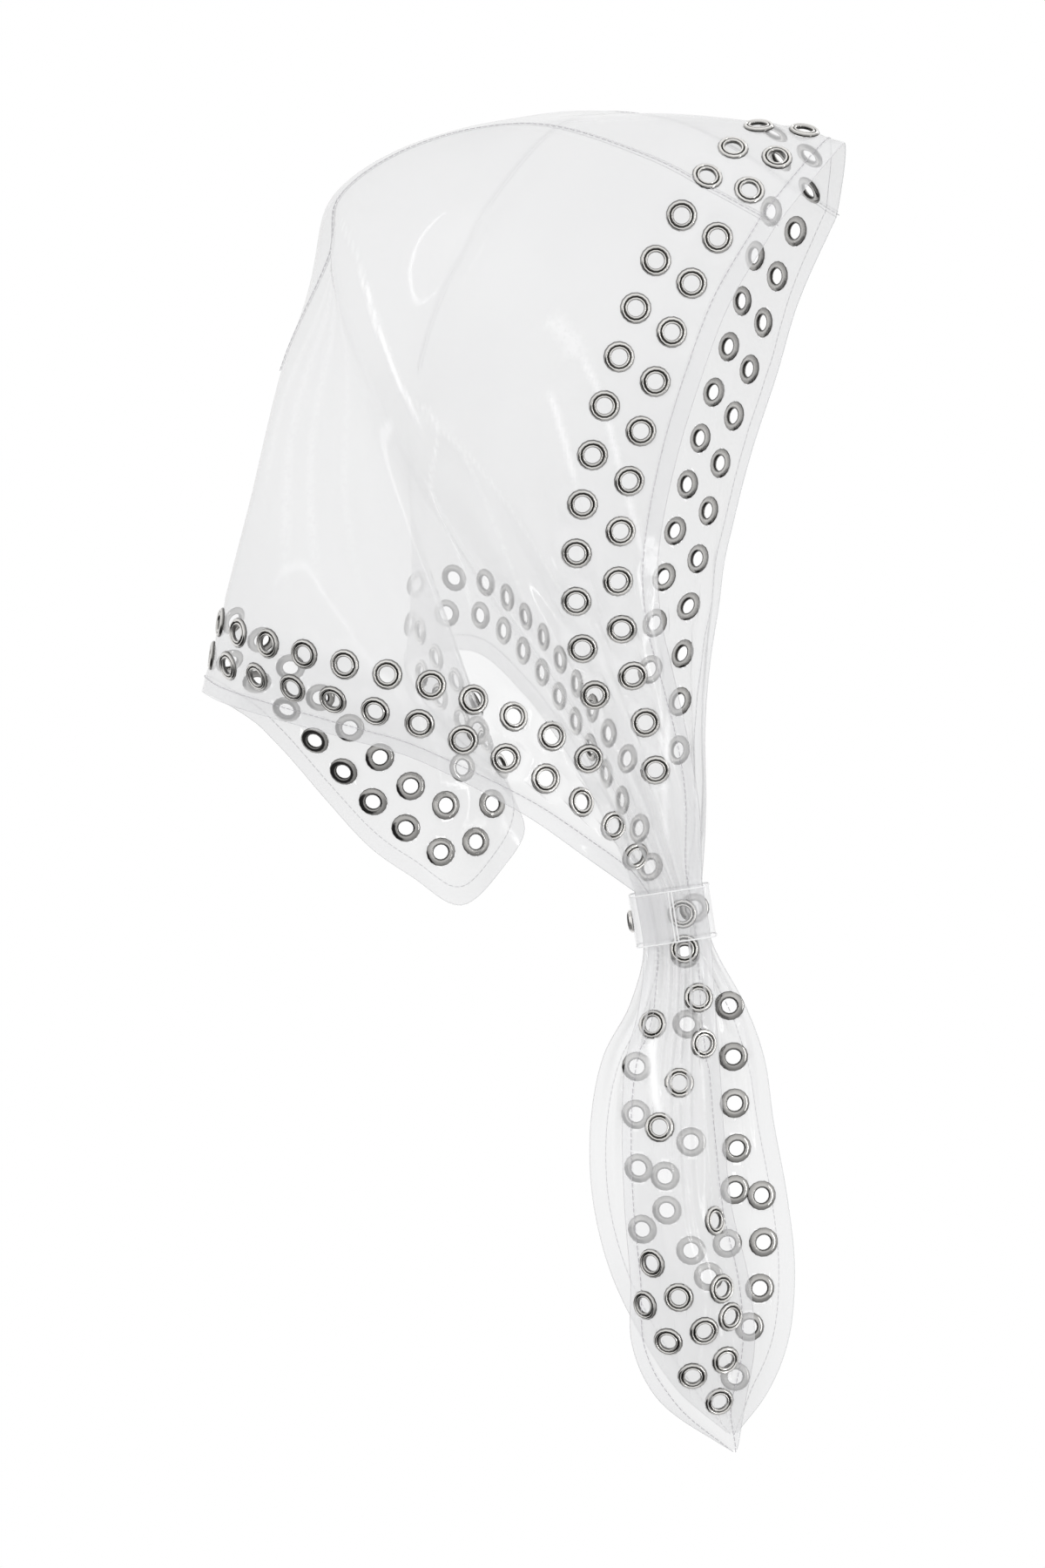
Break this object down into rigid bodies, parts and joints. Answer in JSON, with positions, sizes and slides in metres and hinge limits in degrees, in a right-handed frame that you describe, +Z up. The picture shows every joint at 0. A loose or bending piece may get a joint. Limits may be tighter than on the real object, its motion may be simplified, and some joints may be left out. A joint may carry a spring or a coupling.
{
  "type": "rain hood",
  "caption": "Clear film rain hood with a visor, metal eyelets along its edges, and two scarf ends gathered through a keeper band with a snap.",
  "frame": {"origin": "inside of the crown panel over the middle of the head, where the hood rests on the head", "axes": "+X the way the wearer faces, +Y to the wearer's left, +Z up"},
  "size_m": [0.3218, 0.2272, 0.6561],
  "materials": {
    "film": "clear flexible film, glossy on both sides, faint grey where layers overlap",
    "eyelet_metal": "rolled and polished nickel-plated metal",
    "snap_metal": "dark enamelled snap cap with a bright rim"
  },
  "bodies": {
    "root": {"crown_panel": "film", "eyelet_crown_01": "eyelet_metal", "eyelet_crown_02": "eyelet_metal", "eyelet_crown_03": "eyelet_metal", "eyelet_crown_04": "eyelet_metal", "eyelet_crown_05": "eyelet_metal", "eyelet_left_01": "eyelet_metal", "eyelet_left_02": "eyelet_metal", "eyelet_left_03": "eyelet_metal", "eyelet_left_04": "eyelet_metal", "eyelet_left_05": "eyelet_metal", "eyelet_left_06": "eyelet_metal", "eyelet_left_07": "eyelet_metal", "eyelet_left_08": "eyelet_metal", "eyelet_left_09": "eyelet_metal", "eyelet_left_10": "eyelet_metal", "eyelet_left_11": "eyelet_metal", "eyelet_left_12": "eyelet_metal", "eyelet_right_01": "eyelet_metal", "eyelet_right_02": "eyelet_metal", "eyelet_right_03": "eyelet_metal", "eyelet_right_04": "eyelet_metal", "eyelet_right_05": "eyelet_metal", "eyelet_right_06": "eyelet_metal", "eyelet_right_07": "eyelet_metal", "eyelet_right_08": "eyelet_metal", "eyelet_right_09": "eyelet_metal", "eyelet_right_10": "eyelet_metal", "eyelet_right_11": "eyelet_metal", "eyelet_right_12": "eyelet_metal", "keeper_band": "film", "left_side_panel": "film", "right_side_panel": "film", "snap_cap": "snap_metal"}
  },
  "joints": []
}
